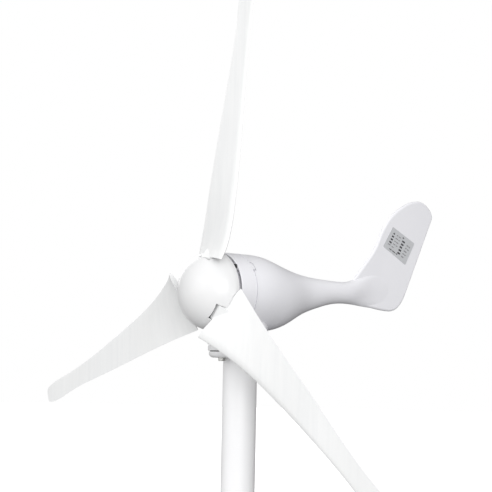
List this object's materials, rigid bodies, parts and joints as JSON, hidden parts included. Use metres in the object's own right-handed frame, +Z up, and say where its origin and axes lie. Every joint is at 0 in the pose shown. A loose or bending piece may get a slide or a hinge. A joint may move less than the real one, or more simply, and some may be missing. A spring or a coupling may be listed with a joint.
{
  "type": "small wind turbine",
  "caption": "Small white three-bladed horizontal-axis wind turbine with a rounded nose cone, tapered nacelle, upswept tail fin and free yaw on a tube mast.",
  "frame": {"origin": "centre of the mast tube's lower end, on the yaw axis", "axes": "+Z up along the mast, nose cone and rotor towards -Y, tail fin towards +Y"},
  "size_m": [1.1215, 0.739, 1.3634],
  "materials": {
    "white_paint": "semi-gloss white powder coat over cast aluminium",
    "mast_paint": "satin white paint",
    "blade_nylon": "satin moulded glass-filled nylon, white",
    "nose_plastic": "gloss moulded plastic, white",
    "zinc_steel": "zinc-plated steel",
    "black_steel": "black-oxide steel",
    "machined_steel": "turned steel",
    "bearing_steel": "ground bearing steel",
    "cage_brass": "machined brass",
    "laminations": "stacked electrical steel sheets",
    "copper_winding": "enamelled copper wire",
    "cast_aluminium": "as-cast aluminium",
    "magnet_nickel": "nickel-plated magnet",
    "black_nylon": "moulded black nylon",
    "carbon": "carbon-graphite",
    "black_rubber": "nitrile rubber",
    "lead_insulation": "silicone-insulated lead",
    "label_silver": "brushed silver foil plate"
  },
  "bodies": {
    "mast": {"mast_tube": "mast_paint", "mast_flange": "mast_paint", "flange_gasket": "black_rubber", "flange_bolts": "zinc_steel", "flange_washers": "zinc_steel", "yaw_spindle": "mast_paint", "yaw_lower_bearing_inner": "bearing_steel", "yaw_upper_bearing_inner": "bearing_steel", "yaw_inner_spacer": "machined_steel", "spindle_circlip": "machined_steel", "slip_ring_core": "black_nylon", "slip_rings": "cage_brass"},
    "nacelle": {"nacelle_housing": "white_paint", "rating_plate": "label_silver", "generator_cover": "white_paint", "cover_screws": "black_steel", "stator_core": "laminations", "stator_coils": "copper_winding", "rear_bracket": "cast_aluminium", "bracket_screws": "zinc_steel", "front_bearing_outer": "bearing_steel", "rear_bearing_outer": "bearing_steel", "shaft_seal": "black_rubber", "yaw_lower_bearing_outer": "bearing_steel", "yaw_upper_bearing_outer": "bearing_steel", "yaw_outer_spacer": "machined_steel", "yaw_retaining_ring": "machined_steel", "neck_seal": "black_rubber", "brush_holder": "black_nylon", "brushes": "carbon", "brush_springs": "machined_steel", "phase_leads": "lead_insulation"},
    "rotor": {"nose_cone": "nose_plastic", "nose_cone_screws": "zinc_steel", "hub": "cast_aluminium", "blade_1": "blade_nylon", "blade_2": "blade_nylon", "blade_3": "blade_nylon", "blade_bolts": "zinc_steel", "blade_washers": "zinc_steel", "blade_nuts": "zinc_steel", "main_shaft": "machined_steel", "shaft_key": "machined_steel", "hub_nut": "zinc_steel", "hub_washer": "zinc_steel", "rotor_core": "machined_steel", "rotor_magnets": "magnet_nickel", "front_bearing_inner": "bearing_steel", "rear_bearing_inner": "bearing_steel", "shaft_circlip": "machined_steel"},
    "main_bearing_balls": {"front_bearing_balls": "bearing_steel", "rear_bearing_balls": "bearing_steel", "main_bearing_cages": "cage_brass"},
    "yaw_bearing_balls": {"yaw_lower_bearing_balls": "bearing_steel", "yaw_upper_bearing_balls": "bearing_steel", "yaw_bearing_cages": "cage_brass"}
  },
  "joints": [
    {"name": "yaw", "type": "hinge", "parent": "mast", "child": "nacelle", "pos_m": [0, 0, 0.72], "axis": [0, 0, 1], "continuous": true},
    {"name": "rotor_spin", "type": "hinge", "parent": "nacelle", "child": "rotor", "pos_m": [0, -0.085, 0.72], "axis": [0, 1, 0], "continuous": true},
    {"name": "main_ball_orbit", "type": "hinge", "parent": "nacelle", "child": "main_bearing_balls", "pos_m": [0, -0.085, 0.72], "axis": [0, 1, 0], "continuous": true},
    {"name": "yaw_ball_orbit", "type": "hinge", "parent": "mast", "child": "yaw_bearing_balls", "pos_m": [0, 0, 0.63], "axis": [0, 0, 1], "continuous": true}
  ],
  "couplings": [
    {"joint": "main_ball_orbit", "follows": "rotor_spin", "ratio": 0.3815},
    {"joint": "yaw_ball_orbit", "follows": "yaw", "ratio": 0.5514}
  ]
}
